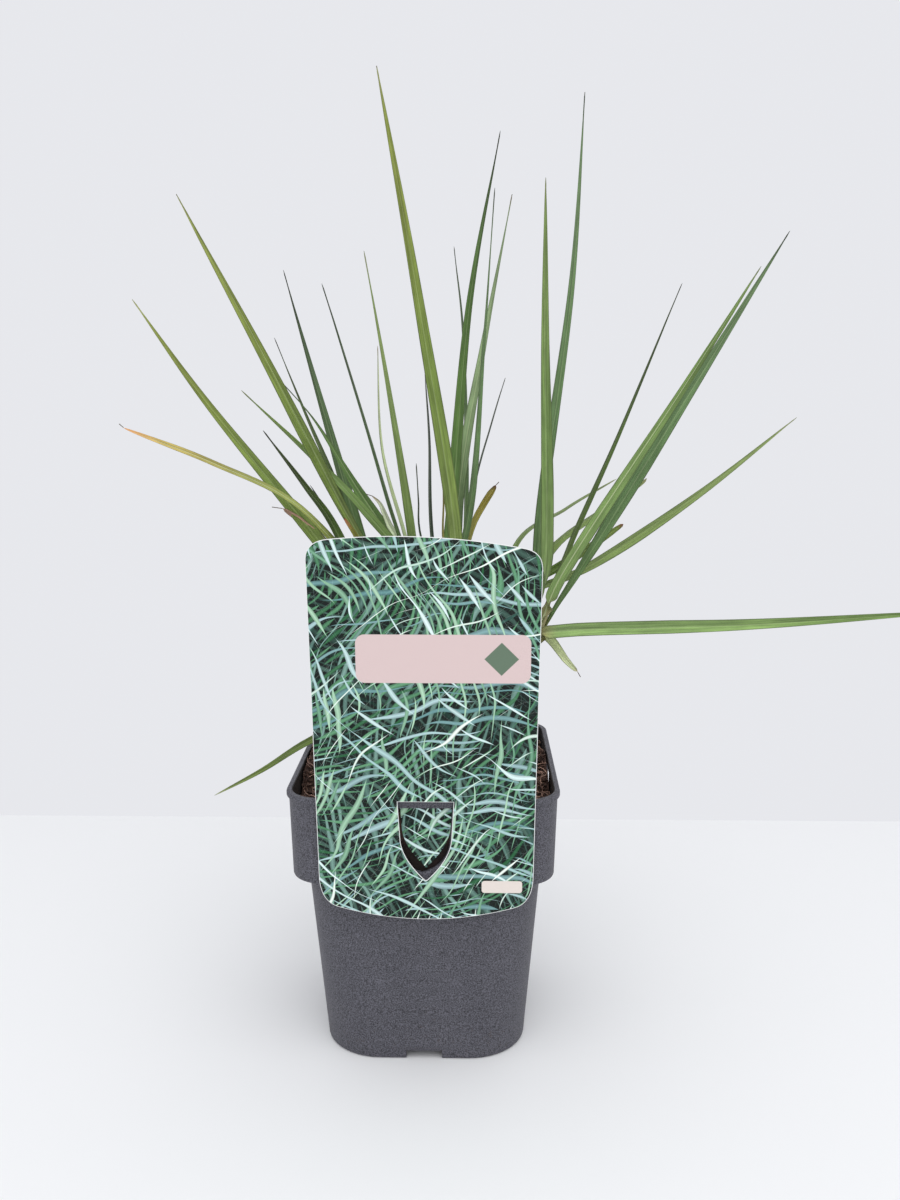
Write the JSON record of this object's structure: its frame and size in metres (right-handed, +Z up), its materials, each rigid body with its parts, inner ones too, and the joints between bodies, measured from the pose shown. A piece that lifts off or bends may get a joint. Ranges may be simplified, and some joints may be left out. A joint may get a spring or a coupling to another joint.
{
  "type": "potted american beachgrass",
  "caption": "Stiff upright and arching blades of american beachgrass growing in a square plastic nursery pot, with a printed plant label hooked over the front rim.",
  "frame": {"origin": "middle of the pot's foot, on the surface that it stands on", "axes": "+Z up along the pot, -Y towards the side that the label hangs on, +X to the right of the label"},
  "size_m": [0.3402, 0.2242, 0.4021],
  "materials": {
    "pot_plastic": "fine-grained matte polypropylene, dark slate grey",
    "potting_mix": "loose bark and coir fibre",
    "label_plastic": "printed semi-gloss film, white cut edge and back",
    "grass": "satin leaf with fine lengthwise ribs"
  },
  "bodies": {
    "root": {"pot": "pot_plastic", "soil": "potting_mix", "label": "label_plastic", "tiller_left_front": "grass", "tiller_left": "grass", "tiller_left_back": "grass", "tiller_centre_left": "grass", "tiller_front": "grass", "tiller_centre": "grass", "tiller_centre_back": "grass", "tiller_right_front": "grass", "tiller_right": "grass", "tiller_right_back": "grass", "tiller_right_low": "grass", "tiller_left_low": "grass", "tiller_back": "grass", "tiller_right_far": "grass"}
  },
  "joints": []
}
